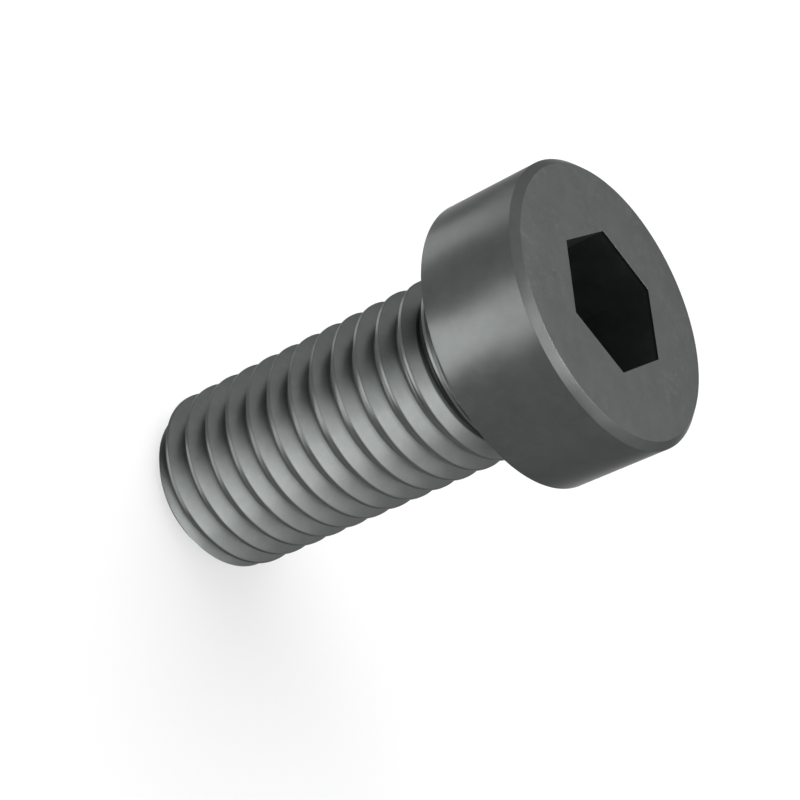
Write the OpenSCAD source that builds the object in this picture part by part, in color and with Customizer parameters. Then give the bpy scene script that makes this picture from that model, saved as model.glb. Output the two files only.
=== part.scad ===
// Low head socket cap screw, M12 x 1.75 x 25, black-oxide steel, one solid.
// Millimetres. Origin at the centre of the bearing face under the head, on the screw's axis.
// +Z runs up the axis to the top of the head; the thread runs down from the head to z = -length.

/* [Head] */
// Diameter across the head's plain side
head_d = 18; // [17:0.05:20]
// Height of the head from the bearing face to its flat top
head_h = 6.77; // [6.4:0.01:8]
// 45 degree chamfer round the top edge of the head
head_chamfer = 0.45; // [0.2:0.05:0.8]
// Small broken edge round the bottom of the head's side
head_lower_break = 0.06; // [0.04:0.01:0.15]

/* [Hex socket] */
// Distance across the flats of the hexagon socket
hex_af = 8.09; // [7:0.01:9]
// Depth of the straight hexagon walls below the top of the head
hex_depth = 5.2; // [4.5:0.05:5.6]
// Depth of the shallow cone that the socket's floor runs into
hex_floor_cone = 0.8; // [0.3:0.05:1.2]
// Turn of the hexagon about the axis, in degrees
hex_turn = 0; // [-30:0.5:30]

/* [Thread] */
// Length of the shank from the bearing face to the end of the thread
length = 25.25; // [16:0.25:40]
// Diameter over the crests of the thread
thread_d = 11.86; // [11.7:0.01:12]
// Pitch of the thread
pitch = 1.75; // [1.5:0.05:1.75]
// Turn of the thread about the axis, in degrees
thread_turn = 161; // [0:1:360]

/* [Shank ends] */
// Diameter of the neck between the thread and the head
neck_d = 9.6; // [9.2:0.05:9.65]
// Radius of the fillet where the neck runs into the bearing face
neck_fillet = 1.2; // [1.2:0.05:1.6]
// Plain length of neck between the fillet and the upper end of the thread
neck_len = 0.1; // [0.05:0.05:2]
// Diameter of the flat end of the shank
end_d = 9.62; // [9:0.02:10]

/* [Hidden] */
$fn = 96;
eps = 0.01;
steel = [0.30, 0.31, 0.31];

head_r = head_d / 2;
thread_r = thread_d / 2;
neck_r = neck_d / 2;

// The fillet ends on the bearing face just outside the crests of the thread
fillet_r = max(neck_fillet, thread_r + 0.05 - neck_r);
runout = fillet_r + neck_len;
end_r = end_d / 2;
hex_circle_d = hex_af / cos(30);

// ISO metric profile: 60 degree V, crest flat of an eighth of the pitch, rounded root
thread_height = pitch * cos(30);
crest_flat = pitch / 8;
root_round = thread_height / 6;
thread_depth = thread_height * 17 / 24;
root_r = thread_r - thread_depth;
root_tangent_r = root_r + root_round * (1 - sin(30));
root_tangent_half = root_round * cos(30);

// One pitch of the profile, from the lower edge of a crest up to the next one: [rise, radius]
profile = [
    [-crest_flat / 2, thread_r],
    [crest_flat / 2, thread_r],
    [pitch / 2 - root_tangent_half, root_tangent_r],
    [pitch / 2, root_r],
    [pitch / 2 + root_tangent_half, root_tangent_r]
];
points_a_pitch = len(profile);

// The thread blank runs more than one pitch past both ends and is cut to length afterwards
blank_bottom = -length - 1.25 * pitch;
blank_top = 0.75 * pitch;
turns = ceil((blank_top - blank_bottom) / pitch);
facet_budget = 11500;
steps_a_turn = min(72, 4 * floor(facet_budget / (8 * points_a_pitch * (turns + 1))));
steps = steps_a_turn * turns;

function helix_angle_at(i) = 360 * i / steps_a_turn;
function helix_rise_at(i) = blank_bottom + pitch * i / steps_a_turn;
function helix_point(i, k) =
    let (a = helix_angle_at(i), r = profile[k][1])
    [r * cos(a), r * sin(a), helix_rise_at(i) + profile[k][0]];
function index_of(i, k) = i * points_a_pitch + k;

// Right-hand helical thread blank: the profile swept up the helix, each turn joined to the next
module thread_blank() {
    last = points_a_pitch - 1;
    n = (steps + 1) * points_a_pitch;
    points = concat(
        [for (i = [0 : steps]) for (k = [0 : last]) helix_point(i, k)],
        [[0, 0, blank_bottom - pitch / 4], [0, 0, helix_rise_at(steps) + pitch / 4]]
    );
    flanks = [
        for (i = [0 : steps - 1]) for (k = [0 : last - 1]) for (half = [0, 1])
            half == 0
                ? [index_of(i, k), index_of(i + 1, k + 1), index_of(i + 1, k)]
                : [index_of(i, k), index_of(i, k + 1), index_of(i + 1, k + 1)]
    ];
    joins = [
        for (i = [0 : steps - steps_a_turn - 1]) for (half = [0, 1])
            half == 0
                ? [index_of(i, last), index_of(i + 1 + steps_a_turn, 0), index_of(i + 1, last)]
                : [index_of(i, last), index_of(i + steps_a_turn, 0), index_of(i + 1 + steps_a_turn, 0)]
    ];
    bottom_fan = [for (i = [0 : steps_a_turn - 1]) [n, index_of(i, 0), index_of(i + 1, 0)]];
    bottom_wall = [[n, index_of(steps_a_turn, 0), for (k = [last : -1 : 0]) index_of(0, k)]];
    top_fan = [
        for (i = [steps - steps_a_turn : steps - 1]) [n + 1, index_of(i + 1, last), index_of(i, last)]
    ];
    top_wall = [[n + 1, index_of(steps - steps_a_turn, last), for (k = [0 : last]) index_of(steps, k)]];
    polyhedron(points, concat(flanks, joins, bottom_fan, bottom_wall, top_fan, top_wall), convexity = 10);
}

// Envelope that cuts the blank: chamfered end, full thread, run-out cone down to the neck
module shank_envelope() {
    outer_r = thread_r + 0.5;
    chamfer_rise = outer_r - end_r;
    runout_drop = (outer_r - neck_r) * tan(30);
    rotate_extrude()
        polygon([
            [0, -length],
            [end_r, -length],
            [outer_r, -length + chamfer_rise],
            [outer_r, -runout - runout_drop],
            [neck_r, -runout],
            [neck_r, eps],
            [0, eps]
        ]);
}

// Plain head with its chamfered top edge
module head() {
    rotate_extrude()
        polygon([
            [0, 0],
            [head_r - head_lower_break, 0],
            [head_r, head_lower_break],
            [head_r, head_h - head_chamfer],
            [head_r - head_chamfer, head_h],
            [0, head_h]
        ]);
}

// Fillet ring between the neck and the bearing face
module fillet() {
    rotate_extrude()
        difference() {
            translate([neck_r - 1, -fillet_r])
                square([1 + fillet_r, fillet_r + eps]);
            translate([neck_r + fillet_r, -fillet_r])
                circle(r = fillet_r);
        }
}

// Hexagon socket with its cone-shaped floor
module socket() {
    rotate([0, 0, hex_turn])
        translate([0, 0, head_h - hex_depth])
            cylinder(h = hex_depth + 1, d = hex_circle_d, $fn = 6);
    translate([0, 0, head_h - hex_depth - hex_floor_cone])
        cylinder(h = hex_floor_cone + eps, r1 = 0, r2 = hex_af / 2 - 0.1);
}

module cap_screw() {
    color(steel)
        difference() {
            union() {
                head();
                fillet();
                intersection() {
                    rotate([0, 0, thread_turn])
                        thread_blank();
                    shank_envelope();
                }
            }
            socket();
        }
}

cap_screw();
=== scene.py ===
import math
import bmesh
import bpy
from mathutils import Matrix, Vector


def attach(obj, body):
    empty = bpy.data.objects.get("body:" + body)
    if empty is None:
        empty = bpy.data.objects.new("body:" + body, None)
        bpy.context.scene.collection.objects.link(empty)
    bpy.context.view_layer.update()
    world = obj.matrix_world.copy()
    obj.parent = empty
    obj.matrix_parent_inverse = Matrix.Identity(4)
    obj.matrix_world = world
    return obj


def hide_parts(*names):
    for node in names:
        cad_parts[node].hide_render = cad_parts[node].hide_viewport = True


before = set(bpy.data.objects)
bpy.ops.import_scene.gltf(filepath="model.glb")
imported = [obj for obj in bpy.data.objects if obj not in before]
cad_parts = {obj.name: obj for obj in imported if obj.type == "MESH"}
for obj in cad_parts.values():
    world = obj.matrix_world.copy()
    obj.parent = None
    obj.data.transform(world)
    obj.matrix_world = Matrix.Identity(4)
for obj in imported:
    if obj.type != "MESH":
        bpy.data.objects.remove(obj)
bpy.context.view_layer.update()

MM = 0.001
TAN_30 = math.tan(math.radians(30))

# The screw, in millimetres, as in the part
HEAD_R = 9.0
HEAD_H = 6.77
HEAD_CHAMFER = 0.45
LOWER_BREAK = 0.06
EDGE_BREAK = 0.035
HEX_AF = 8.09
HEX_DEPTH = 5.2
HEX_FLOOR_CONE = 0.8
CONE_R = HEX_AF / 2 - 0.1
MOUTH_BREAK = 0.015
LENGTH = 25.25
THREAD_R = 5.93
PITCH = 1.75
THREAD_TURN = 161.0
NECK_R = 4.8
FILLET_R = 1.2
RUNOUT = 1.3
END_R = 4.81
CREST_FLAT = PITCH / 8
CREST_EDGE_R = 0.045
THREAD_HEIGHT = PITCH * math.cos(math.radians(30))
ROOT_ROUND = THREAD_HEIGHT / 6
ROOT_R = THREAD_R - THREAD_HEIGHT * 17 / 24
SIDE_TOP = HEAD_H - HEAD_CHAMFER
SOCKET_FLOOR = HEAD_H - HEX_DEPTH

# The small broken edge round the end: its inner ring, and its outer ring with its rise
END_BREAK_IN = 0.03
END_BREAK_OUT = 0.01
END_BREAK_RISE = 0.02

# How far the thread's blank runs past the shank before it is cut to length
BLANK_BELOW = 1.25 * PITCH
BLANK_ABOVE = 0.75 * PITCH
BLANK_TIP = PITCH / 4

# Helpers that shape nothing that is seen: clear of the thread, inside the solid or within a flat face
ENVELOPE_MARGIN = 0.5
ENVELOPE_CORE_R = 3.0
CORE_BOTTOM = -2.2
UNDERSIDE_RING_R = 7.5
TOP_RING_R = 7.0

# Mesh: points round the head, steps in a turn of thread, and limits for its edges
SEGMENTS = 252
STEPS_A_TURN = 144
ANGLE_NUDGE = 1e-9
SLIVER_M = 2e-7
SHARP_ANGLE = 28

# Camera: round the middle of the screw, rolled so that the axis leans to the right
AIM = Vector((0.0, 0.0, -0.00924))
CAM_AZIMUTH = -56.545
CAM_ELEVATION = 33.185
CAM_DISTANCE = 0.13382
CAM_ROLL = 65.0
CAM_LENS = 98.87
CAM_SENSOR = 36.0
CAM_CLIP_START = 0.005
CAM_CLIP_END = 20.0

# Steel: its colour, and how much each place on the screw scales it.
# The scales are painted light and shade: painted shade darkens the head's side, the chamfer, the crests,
# the roots, the groove under the head and the socket's floor, and painted light brightens the socket's
# walls
OXIDE = (0.1106, 0.1169, 0.1152)
SIDE_PAINTED_SHADE = 0.60
CHAMFER_PAINTED_SHADE = 0.8
CREST_PAINTED_SHADE = 0.72
ROOT_PAINTED_SHADE = 0.76
GROOVE_PAINTED_SHADE = 0.25
SOCKET_WALL_PAINTED_LIGHT = 2.1
SOCKET_FLOOR_PAINTED_SHADE = 0.32
GRAZING_TINT = (0.5, 0.5, 0.5, 1)

# Soft limits of those places, in millimetres: where a place is 0, where it is 1
# Heights from the bearing face
SHANK_FADE = (-0.1, -0.6)
SIDE_FOOT_FADE = (-0.02, 0.05)
GROOVE_FADE = (-3.75, -3.55)
NECK_FADE = (-2.14, -2.04)
SOCKET_BOTTOM_FADE = (0.2, 0.6)

# Heights from the flat top, and from the socket's floor
TOP_FADE = (-0.03, -0.005)
SOCKET_TOP_FADE = (-0.05, -0.3)
WALL_FADE = (0.02, 0.3)

# Radii from the head's side, the crests, the roots, and the socket's flats
SIDE_RADIUS_FADE = (-0.12, -0.04)
CREST_FADE = (-0.06, -0.01)
ROOT_FADE = (0.42, 0.08)
GROOVE_RADIUS_FADE = (0.34, 0.2)
SOCKET_RADIUS_FADE = (0.7, 0.6)

# Across both edges of the chamfer
EDGE_FADE = (-0.02, 0.02)

# Texture of the oxide: noise scales are per millimetre, cuts are levels of the noise
CLOUD_SCALE = 0.55
SPECK_SCALE = 1.5
STREAK_SCALE = 2.1
GROUP_SCALE = 0.22
GRAIN_SCALE = 9.0
NOISE_SPAN = (0.3, 0.7)
GROUP_CUT = (0.42, 0.6)
MARK_CUT = (0.53, 0.64)
MARK_SPECK_CUT = (0.42, 0.6)
SCUFF_CUT = (0.46, 0.36)
CLOUD_TONE = (0.95, 1.04)
SPECK_TONE = (-0.025, 0.025)
MARKS_BY_GROUP = (0.25, 1.0)

# Marks and scuffs: their tone elsewhere, and on the flat top
MARK_TONE = (0.05, 0.17)
SCUFF_TONE = (0.02, 0.07)

# Roughness across the grain, and how far the clouds and the marks shift it
GRAIN_ROUGHNESS = (0.285, 0.315)
CLOUD_ROUGHNESS = (-0.01, 0.015)
MARK_ROUGHNESS = 0.02

# Bump: a fine grain, and turned lines that are stronger on the head's side
LINES_A_MM = 12.0
LINE_DRIFT = 0.12
GRAIN_HEIGHT = 0.5
LINE_HEIGHT = (0.1, 0.5)
BUMP_STRENGTH = 0.05
BUMP_DEPTH = 0.02

# Floor and background, in metres: the floor runs into the white between near and far
FLOOR_Z = -LENGTH * MM
FLOOR_HALF = 4.0
FLOOR_TONE = 0.85
FLOOR_ROUGHNESS = 0.95
FLOOR_SPECULAR = 0.2
FLOOR_NEAR = 0.09
FLOOR_FAR = 0.22
WHITE = (1, 1, 1, 1)

# The world's strength for matt surfaces, and for the rays that see the background
WORLD_FILL = 0.25
WORLD_SEEN = 1.0

# Places of the lamps, in metres, and in degrees from the camera's azimuth
LAMP_AIM = Vector((0.0, 0.0, -0.005))
SCREW_LAMP_DISTANCE = 0.6
FLOOR_LAMP_DISTANCE = 1.2
PANEL_LIFT = 0.0002
FRONT_PANELS_AT = -20
LEFT_PANELS_AT = -103


def arc(cx, cy, radius, start, end, count):
    angles = [math.radians(start + (end - start) * i / count) for i in range(count + 1)]
    return [(cx + radius * math.cos(a), cy + radius * math.sin(a)) for a in angles]


def thread_profile():
    """One pitch of the thread as (rise, radius), from a crest's lower edge to the next crest's flank."""
    back = CREST_EDGE_R * TAN_30
    half = CREST_FLAT / 2 - back
    points = arc(-half, THREAD_R - CREST_EDGE_R, CREST_EDGE_R, 150, 90, 4)
    points += arc(half, THREAD_R - CREST_EDGE_R, CREST_EDGE_R, 90, 30, 4)
    points += arc(PITCH / 2, ROOT_R + ROOT_ROUND, ROOT_ROUND, 210, 330, 8)
    return points


def mesh_object(name, vertices, faces):
    mesh = bpy.data.meshes.new(name)
    mesh.from_pydata([tuple(c * MM for c in v) for v in vertices], [], faces)
    bm = bmesh.new()
    bm.from_mesh(mesh)
    bmesh.ops.recalc_face_normals(bm, faces=bm.faces)
    bm.to_mesh(mesh)
    bm.free()
    obj = bpy.data.objects.new(name, mesh)
    bpy.context.scene.collection.objects.link(obj)
    return obj


def thread_blank():
    """A right-hand helical thread that runs past both ends of the shank."""
    profile = thread_profile()
    count = len(profile)
    last = count - 1
    bottom = -LENGTH - BLANK_BELOW
    turns = math.ceil((BLANK_ABOVE - bottom) / PITCH)
    steps = turns * STEPS_A_TURN

    def at(step, point):
        return step * count + point

    vertices = []
    for i in range(steps + 1):
        a = math.radians(THREAD_TURN) + 2 * math.pi * i / STEPS_A_TURN
        rise = bottom + PITCH * i / STEPS_A_TURN
        vertices += [(r * math.cos(a), r * math.sin(a), rise + z) for z, r in profile]
    foot = len(vertices)
    vertices.append((0, 0, bottom - BLANK_TIP))
    top = len(vertices)
    vertices.append((0, 0, bottom + PITCH * turns + BLANK_TIP))

    # The profile's own faces, and those that join each turn to the next
    faces = [(at(i, j), at(i + 1, j), at(i + 1, j + 1), at(i, j + 1))
             for i in range(steps) for j in range(last)]
    faces += [(at(i, last), at(i + 1, last), at(i + 1 + STEPS_A_TURN, 0), at(i + STEPS_A_TURN, 0))
              for i in range(steps - STEPS_A_TURN)]

    # The closed ends
    faces += [(foot, at(i + 1, 0), at(i, 0)) for i in range(STEPS_A_TURN)]
    faces.append((foot, at(STEPS_A_TURN, 0)) + tuple(at(0, j) for j in range(last, -1, -1)))
    faces += [(top, at(i, last), at(i + 1, last)) for i in range(steps - STEPS_A_TURN, steps)]
    faces.append((top, at(steps - STEPS_A_TURN, last)) + tuple(at(steps, j) for j in range(count)))
    return mesh_object("thread", vertices, faces)


def lathe(name, rings):
    """A closed solid: a height on the axis, then rings of (radius, height), then a height on the axis.

    A ring may also be a function of the angle that gives its radius and height.
    """
    count = len(rings) - 2

    def at(ring, i):
        return 1 + ring * SEGMENTS + i % SEGMENTS

    vertices = [(0, 0, rings[0])]
    for ring in rings[1:-1]:
        for i in range(SEGMENTS):
            a = 2 * math.pi * i / SEGMENTS
            r, z = ring(a) if callable(ring) else ring
            vertices.append((r * math.cos(a), r * math.sin(a), z))
    vertices.append((0, 0, rings[-1]))
    last = len(vertices) - 1
    faces = [(0, at(0, i + 1), at(0, i)) for i in range(SEGMENTS)]
    faces += [(at(n, i), at(n, i + 1), at(n + 1, i + 1), at(n + 1, i))
              for n in range(count - 1) for i in range(SEGMENTS)]
    faces += [(last, at(count - 1, i), at(count - 1, i + 1)) for i in range(SEGMENTS)]
    return mesh_object(name, vertices, faces)


def shank_envelope():
    """What cuts the blank to the shank: the chamfered end below and the run-out cone above."""
    outer = THREAD_R + ENVELOPE_MARGIN
    runout_drop = (outer - NECK_R) * TAN_30
    core_z = -RUNOUT + (NECK_R - ENVELOPE_CORE_R) * TAN_30
    rings = [
        -LENGTH,
        (END_R - END_BREAK_IN, -LENGTH),
        (END_R + END_BREAK_OUT, -LENGTH + END_BREAK_RISE),
        (outer, -LENGTH + outer - END_R),
        (outer, -RUNOUT - runout_drop),
        (ENVELOPE_CORE_R, core_z),
        core_z,
    ]
    return lathe("envelope", rings)


def hexagon(offset, z):
    """A ring that follows the hexagon socket, with its corners on the ring's own points."""
    def ring(a):
        turn = (a + ANGLE_NUDGE) % (math.pi / 3) - math.pi / 6
        return (HEX_AF / 2 + offset) / math.cos(turn), z
    return ring


def head_body():
    """The head with its socket, the fillet under it and the neck."""
    neck = [(NECK_R, CORE_BOTTOM), (NECK_R, -RUNOUT)]
    fillet = arc(NECK_R + FILLET_R, -FILLET_R, FILLET_R, 180, 90, 10)
    lower = arc(HEAD_R - LOWER_BREAK, LOWER_BREAK, LOWER_BREAK, 270, 360, 4)
    t = EDGE_BREAK * math.tan(math.radians(22.5))
    upper = arc(HEAD_R - EDGE_BREAK, SIDE_TOP - t, EDGE_BREAK, 0, 45, 3)
    rim = arc(HEAD_R - HEAD_CHAMFER - t, HEAD_H - EDGE_BREAK, EDGE_BREAK, 45, 90, 3)
    outside = neck + fillet + [(UNDERSIDE_RING_R, 0)] + lower + upper + rim + [(TOP_RING_R, HEAD_H)]
    socket = [
        hexagon(MOUTH_BREAK, HEAD_H),
        hexagon(0, HEAD_H - MOUTH_BREAK),
        hexagon(0, SOCKET_FLOOR),
        (CONE_R, SOCKET_FLOOR),
    ]
    return lathe("head", [CORE_BOTTOM] + outside + socket + [SOCKET_FLOOR - HEX_FLOOR_CONE])


def combine(target, other, operation):
    cut = target.modifiers.new(operation, "BOOLEAN")
    cut.operation = operation
    cut.solver = "EXACT"
    cut.object = other
    graph = bpy.context.evaluated_depsgraph_get()
    mesh = bpy.data.meshes.new_from_object(target.evaluated_get(graph))
    target.modifiers.clear()
    target.data = mesh
    bpy.data.objects.remove(other)
    return target


def clean(obj):
    """Closes the slivers that the cuts leave where a cone just grazes a facet."""
    bm = bmesh.new()
    bm.from_mesh(obj.data)
    bmesh.ops.dissolve_degenerate(bm, dist=SLIVER_M, edges=bm.edges)
    bm.to_mesh(obj.data)
    bm.free()


def make_screw():
    screw = combine(thread_blank(), shank_envelope(), "INTERSECT")
    screw = combine(screw, head_body(), "UNION")
    clean(screw)
    screw.name = "screw"
    mesh = screw.data
    mesh.name = "screw"
    mesh.polygons.foreach_set("use_smooth", [True] * len(mesh.polygons))
    mesh.set_sharp_from_angle(angle=math.radians(SHARP_ANGLE))
    mesh.materials.clear()
    mesh.materials.append(black_oxide())
    return screw


def direction(azimuth, elevation):
    """A unit vector; the azimuth is in degrees from the camera's own, anticlockwise from above."""
    a = math.radians(CAM_AZIMUTH + azimuth)
    e = math.radians(elevation)
    return Vector((math.cos(e) * math.cos(a), math.cos(e) * math.sin(a), math.sin(e)))


def facing(place, back):
    """The matrix of a camera or lamp at a place, turned away from the direction back."""
    return Matrix.Translation(place) @ back.to_track_quat("Z", "Y").to_matrix().to_4x4()


def make_camera():
    data = bpy.data.cameras.new("camera")
    data.lens = CAM_LENS
    data.sensor_width = CAM_SENSOR
    data.sensor_fit = "HORIZONTAL"
    data.clip_start = CAM_CLIP_START
    data.clip_end = CAM_CLIP_END
    cam = bpy.data.objects.new("camera", data)
    bpy.context.scene.collection.objects.link(cam)
    back = direction(0, CAM_ELEVATION)
    roll = Matrix.Rotation(math.radians(CAM_ROLL), 4, "Z")
    cam.matrix_world = facing(AIM + back * CAM_DISTANCE, back) @ roll
    bpy.context.scene.camera = cam


class Graph:
    """Short calls for building a node tree."""

    def __init__(self, tree):
        self.tree = tree

    def node(self, kind, **settings):
        made = self.tree.nodes.new(kind)
        for name, value in settings.items():
            setattr(made, name, value)
        return made

    def put(self, value, socket):
        if hasattr(value, "is_output"):
            self.tree.links.new(value, socket)
        else:
            socket.default_value = value

    def math(self, operation, a, b=0.0):
        made = self.node("ShaderNodeMath", operation=operation)
        self.put(a, made.inputs[0])
        self.put(b, made.inputs[1])
        return made.outputs[0]

    def product(self, first, *others):
        for value in others:
            first = self.math("MULTIPLY", first, value)
        return first

    def scaled(self, vector, scale):
        made = self.node("ShaderNodeVectorMath", operation="SCALE")
        self.put(vector, made.inputs[0])
        self.put(scale, made.inputs["Scale"])
        return made.outputs[0]

    def ramp(self, value, low, high, out_low=0.0, out_high=1.0):
        made = self.node("ShaderNodeMapRange", interpolation_type="SMOOTHSTEP")
        for v, socket in zip((value, low, high, out_low, out_high), made.inputs):
            self.put(v, socket)
        return made.outputs[0]

    def fade(self, value, origin, limits):
        """0 to 1 across two limits, given as distances from an origin."""
        return self.ramp(value, origin + limits[0], origin + limits[1])

    def between(self, mask, outside, inside):
        """One value off a mask and another on it."""
        return self.ramp(mask, 0.0, 1.0, outside, inside)

    def noise(self, place, scale, detail=3.0, rough=0.55, distortion=0.0):
        made = self.node("ShaderNodeTexNoise")
        self.put(place, made.inputs["Vector"])
        made.inputs["Scale"].default_value = scale
        made.inputs["Detail"].default_value = detail
        made.inputs["Roughness"].default_value = rough
        made.inputs["Distortion"].default_value = distortion
        return made.outputs["Fac"]


def top_and_side(g, radius, z):
    """The flat top and the straight side of the head, as masks."""
    on_top = g.fade(z, HEAD_H, TOP_FADE)
    foot = g.fade(z, 0.0, SIDE_FOOT_FADE)
    below_chamfer = g.fade(z, SIDE_TOP, EDGE_FADE[::-1])
    on_side = g.product(g.fade(radius, HEAD_R, SIDE_RADIUS_FADE), foot, below_chamfer)
    return on_top, on_side


def painted_light_and_shade(g, radius, z, on_side):
    """Places where light or shade is painted into the colour, as pairs of mask and the scale of its
    painted shade or light.
    """
    chamfer_rim = g.fade(radius, HEAD_R - HEAD_CHAMFER, EDGE_FADE)
    on_chamfer = g.product(chamfer_rim, g.fade(z, SIDE_TOP, EDGE_FADE))

    on_shank = g.fade(z, 0.0, SHANK_FADE)
    on_crest = g.product(on_shank, g.fade(radius, THREAD_R, CREST_FADE))
    on_root = g.product(on_shank, g.fade(radius, ROOT_R, ROOT_FADE))
    first_root = g.product(g.fade(z, 0.0, GROOVE_FADE), g.fade(radius, ROOT_R, GROOVE_RADIUS_FADE))
    in_groove = g.product(g.math("MAXIMUM", first_root, g.fade(z, 0.0, NECK_FADE)), on_shank)

    depth = g.product(g.fade(z, HEAD_H, SOCKET_TOP_FADE), g.fade(z, 0.0, SOCKET_BOTTOM_FADE))
    in_socket = g.product(g.fade(radius, HEX_AF / 2, SOCKET_RADIUS_FADE), depth)
    on_wall = g.product(in_socket, g.fade(z, SOCKET_FLOOR, WALL_FADE))
    on_cone = g.product(in_socket, g.fade(z, SOCKET_FLOOR, WALL_FADE[::-1]))
    return (
        # Painted shade: darkens the head's side, which mirrors the white floor
        (on_side, SIDE_PAINTED_SHADE),
        # Painted shade: darkens the chamfer
        (on_chamfer, CHAMFER_PAINTED_SHADE),
        # Painted shade: darkens the crests
        (on_crest, CREST_PAINTED_SHADE),
        # Painted shade in the thread's roots
        (on_root, ROOT_PAINTED_SHADE),
        # Painted shade under the head: the last groove and the thread and neck just below the head
        (in_groove, GROOVE_PAINTED_SHADE),
        # Painted light: brightens the socket's walls
        (on_wall, SOCKET_WALL_PAINTED_LIGHT),
        # Painted shade on the socket's floor, deep in the recess
        (on_cone, SOCKET_FLOOR_PAINTED_SHADE),
    )


def turned_lines(g, x, z, radius):
    """Fine lines round the screw, which drift a little along it."""
    rings = g.node("ShaderNodeCombineXYZ")
    g.put(g.math("MULTIPLY", z, LINES_A_MM), rings.inputs[0])
    g.put(g.math("MULTIPLY", radius, LINES_A_MM), rings.inputs[1])
    g.put(g.math("MULTIPLY", x, LINE_DRIFT), rings.inputs[2])
    return g.noise(rings.outputs[0], 1.0, detail=2.0)


def black_oxide():
    """Black-oxide steel: a satin metal with faint clouds, small marks and fine turned lines, and shade
    and light painted into its colour by place.
    """
    material = bpy.data.materials.new("black_oxide_steel")
    material.use_nodes = True
    g = Graph(material.node_tree)
    shader = material.node_tree.nodes["Principled BSDF"]
    mm = g.scaled(g.node("ShaderNodeTexCoord").outputs["Object"], 1 / MM)
    parts = g.node("ShaderNodeSeparateXYZ")
    g.put(mm, parts.inputs[0])
    x, y, z = parts.outputs
    radius = g.math("SQRT", g.math("ADD", g.math("MULTIPLY", x, x), g.math("MULTIPLY", y, y)))
    on_top, on_side = top_and_side(g, radius, z)

    # Soft clouds of oxide, and small paler marks and darker scuffs in loose groups
    clouds = g.noise(mm, CLOUD_SCALE, detail=5.0, rough=0.62)
    specks = g.noise(mm, SPECK_SCALE, detail=5.0, rough=0.6)
    streaks = g.noise(mm, STREAK_SCALE, distortion=1.8)
    groups = g.ramp(g.noise(mm, GROUP_SCALE, detail=2.0), *GROUP_CUT)
    marks = g.product(g.ramp(streaks, *MARK_CUT), g.ramp(specks, *MARK_SPECK_CUT))
    marks = g.product(marks, g.between(groups, *MARKS_BY_GROUP))
    scuffs = g.product(g.ramp(streaks, *SCUFF_CUT), groups)

    # Colour
    tone = g.ramp(clouds, *NOISE_SPAN, *CLOUD_TONE)
    tone = g.math("ADD", tone, g.ramp(specks, *NOISE_SPAN, *SPECK_TONE))
    tone = g.math("ADD", tone, g.product(marks, g.between(on_top, *MARK_TONE)))
    tone = g.math("SUBTRACT", tone, g.product(scuffs, g.between(on_top, *SCUFF_TONE)))
    # Painted shade and light by place: each place's scale darkens or brightens the colour
    for mask, painted_scale in painted_light_and_shade(g, radius, z, on_side):
        tone = g.product(tone, g.between(mask, 1.0, painted_scale))
    g.put(g.scaled(OXIDE, tone), shader.inputs["Base Color"])
    shader.inputs["Metallic"].default_value = 1.0
    shader.inputs["Specular Tint"].default_value = GRAZING_TINT

    # Roughness: satin, a little rougher where the clouds and marks are pale
    grain = g.noise(mm, GRAIN_SCALE, rough=0.6)
    rough = g.ramp(grain, *NOISE_SPAN, *GRAIN_ROUGHNESS)
    rough = g.math("ADD", rough, g.ramp(clouds, *NOISE_SPAN, *CLOUD_ROUGHNESS))
    rough = g.math("ADD", rough, g.product(marks, MARK_ROUGHNESS))
    g.put(rough, shader.inputs["Roughness"])

    # Bump
    lines = turned_lines(g, x, z, radius)
    line_height = g.product(lines, g.between(on_side, *LINE_HEIGHT))
    bump = g.node("ShaderNodeBump")
    bump.inputs["Strength"].default_value = BUMP_STRENGTH
    bump.inputs["Distance"].default_value = BUMP_DEPTH * MM
    g.put(g.math("ADD", g.product(grain, GRAIN_HEIGHT), line_height), bump.inputs["Height"])
    g.put(bump.outputs[0], shader.inputs["Normal"])
    return material


def seen_rays(g):
    """1 for the rays that see the background: from the camera, off metal and through glass."""
    path = g.node("ShaderNodeLightPath")
    seen = g.math("MAXIMUM", path.outputs["Is Camera Ray"], path.outputs["Is Glossy Ray"])
    return g.math("MAXIMUM", seen, path.outputs["Is Transmission Ray"])


def floor_material():
    """A matt pale floor that runs into the white of the background away from the screw."""
    material = bpy.data.materials.new("floor")
    material.use_nodes = True
    shader = material.node_tree.nodes["Principled BSDF"]
    shader.inputs["Base Color"].default_value = (FLOOR_TONE, FLOOR_TONE, FLOOR_TONE, 1)
    shader.inputs["Roughness"].default_value = FLOOR_ROUGHNESS
    shader.inputs["Specular IOR Level"].default_value = FLOOR_SPECULAR
    g = Graph(material.node_tree)
    spot = g.node("ShaderNodeVectorMath", operation="LENGTH")
    g.put(g.node("ShaderNodeTexCoord").outputs["Object"], spot.inputs[0])
    away = g.ramp(spot.outputs["Value"], FLOOR_NEAR, FLOOR_FAR)
    glow = g.node("ShaderNodeEmission")
    glow.inputs["Color"].default_value = WHITE
    glow.inputs["Strength"].default_value = 1.0
    blend = g.node("ShaderNodeMixShader")
    g.put(g.product(away, seen_rays(g)), blend.inputs[0])
    g.put(shader.outputs[0], blend.inputs[1])
    g.put(glow.outputs[0], blend.inputs[2])
    g.put(blend.outputs[0], material.node_tree.nodes["Material Output"].inputs["Surface"])
    return material


def make_floor():
    mesh = bpy.data.meshes.new("floor")
    corners = [(-1, -1), (1, -1), (1, 1), (-1, 1)]
    vertices = [(x * FLOOR_HALF, y * FLOOR_HALF, FLOOR_Z) for x, y in corners]
    mesh.from_pydata(vertices, [], [(0, 1, 2, 3)])
    mesh.materials.append(floor_material())
    floor = bpy.data.objects.new("floor", mesh)
    bpy.context.scene.collection.objects.link(floor)
    return floor


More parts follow.
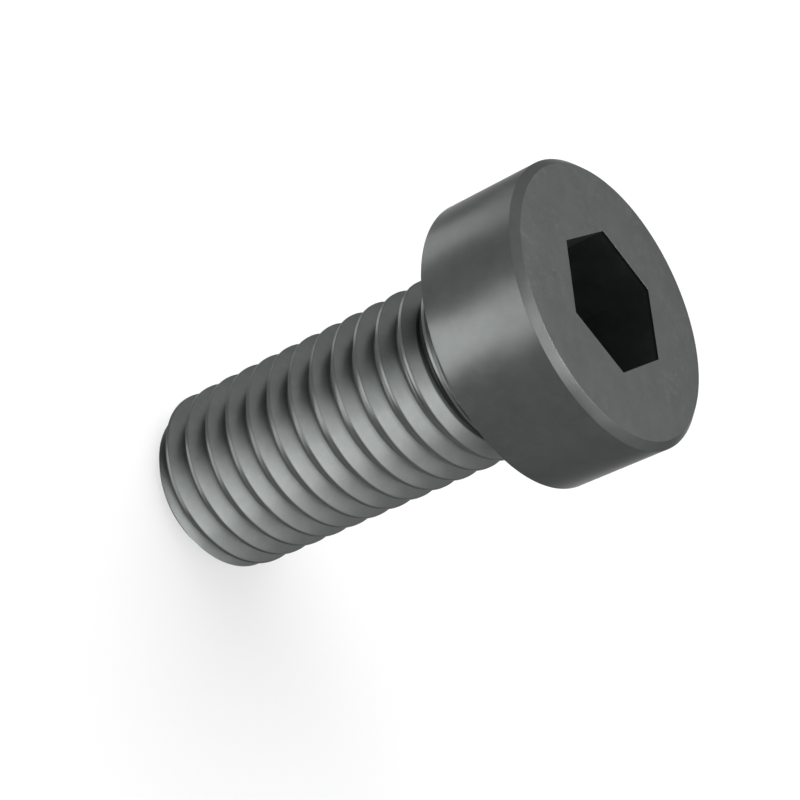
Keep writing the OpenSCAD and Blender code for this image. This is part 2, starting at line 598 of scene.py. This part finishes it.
def make_world():
    world = bpy.data.worlds.new("studio")
    bpy.context.scene.world = world
    world.use_nodes = True
    g = Graph(world.node_tree)
    shader = world.node_tree.nodes["Background"]
    shader.inputs["Color"].default_value = WHITE
    g.put(g.between(seen_rays(g), WORLD_FILL, WORLD_SEEN), shader.inputs["Strength"])


def lit_alone(obj):
    """A collection with one object in it, for the lamps that light nothing else."""
    group = bpy.data.collections.new(obj.name + "_only")
    group.objects.link(obj)
    return group


def area_lamp(name, width, height, radiance):
    """A rectangular lamp, in metres; a radiance of 1 is as bright as the white background."""
    lamp = bpy.data.lights.new(name, "AREA")
    lamp.shape = "RECTANGLE"
    lamp.size = width
    lamp.size_y = height
    lamp.energy = radiance * math.pi * lamp.size * lamp.size_y
    return lamp


def place_lamp(name, lamp, matrix, group):
    obj = bpy.data.objects.new(name, lamp)
    obj.matrix_world = matrix
    obj.visible_camera = False
    obj.light_linking.receiver_collection = group
    bpy.context.scene.collection.objects.link(obj)


def softbox(name, azimuth, elevation, size, radiance, group, distance, shadow=True):
    """A softbox that faces the screw; size is its width and height in degrees as the screw sees it."""
    width, height = (2 * distance * math.tan(math.radians(s / 2)) for s in size)
    lamp = area_lamp(name, width, height, radiance)
    lamp.use_shadow = shadow
    lamp.cycles.use_multiple_importance_sampling = shadow
    back = direction(azimuth, elevation)
    place_lamp(name, lamp, facing(LAMP_AIM + back * distance, back), group)


def floor_panel(name, azimuth, near, far, width, radiance, group):
    """A panel that lies on the floor and shines up, from near to far of the screw in millimetres."""
    lamp = area_lamp(name, (far - near) * MM, width * MM, radiance)
    out = direction(azimuth, 0)
    place = out * (near + far) / 2 * MM + Vector((0, 0, FLOOR_Z + PANEL_LIFT))
    turn = Matrix.Rotation(math.atan2(out.y, out.x), 4, "Z")
    face_up = Matrix.Rotation(math.pi, 4, "X")
    place_lamp(name, lamp, Matrix.Translation(place) @ turn @ face_up, group)


def light_floor(floor):
    """The lamps of the floor: one casts the screw's shadow, one keeps the floor an even white."""
    group = lit_alone(floor)
    away = FLOOR_LAMP_DISTANCE
    softbox("key", -112, 50, (60, 60), 1.1, group, away)
    softbox("floor_fill", 0, 90, (60, 60), 2.6, group, away, shadow=False)


def light_screw(screw):
    """The lamps of the screw: softboxes round and above it, and panels mirrored in the head's side.

    Those above cast no shadow, because the head would keep their light off the thread.
    """
    group = lit_alone(screw)
    away = SCREW_LAMP_DISTANCE
    softbox("over_a", -70, 80, (34, 28), 2.0, group, away, shadow=False)
    softbox("over_b", 84, 78, (34, 30), 4.0, group, away, shadow=False)
    softbox("over_c", 100, 52, (34, 26), 1.0, group, away, shadow=False)
    softbox("front", 8, 52, (46, 28), 2.0, group, away)
    softbox("back", 176, 38, (46, 36), 0.2, group, away)
    floor_panel("front_panel_near", FRONT_PANELS_AT, 7, 26, 8, 2.5, group)
    floor_panel("front_panel", FRONT_PANELS_AT, 26, 60, 24, 4.5, group)
    floor_panel("front_panel_far", FRONT_PANELS_AT, 60, 150, 58, 3.5, group)
    floor_panel("left_panel_near", LEFT_PANELS_AT, 7, 26, 9, 0.5, group)
    floor_panel("left_panel", LEFT_PANELS_AT, 26, 60, 22, 3.0, group)
    floor_panel("left_panel_far", LEFT_PANELS_AT, 60, 150, 51, 1.5, group)


screw = make_screw()
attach(screw, "root")
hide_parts("cap_screw")

make_camera()
floor = make_floor()
make_world()
light_floor(floor)
light_screw(screw)

bpy.context.scene.view_settings.view_transform = "Standard"
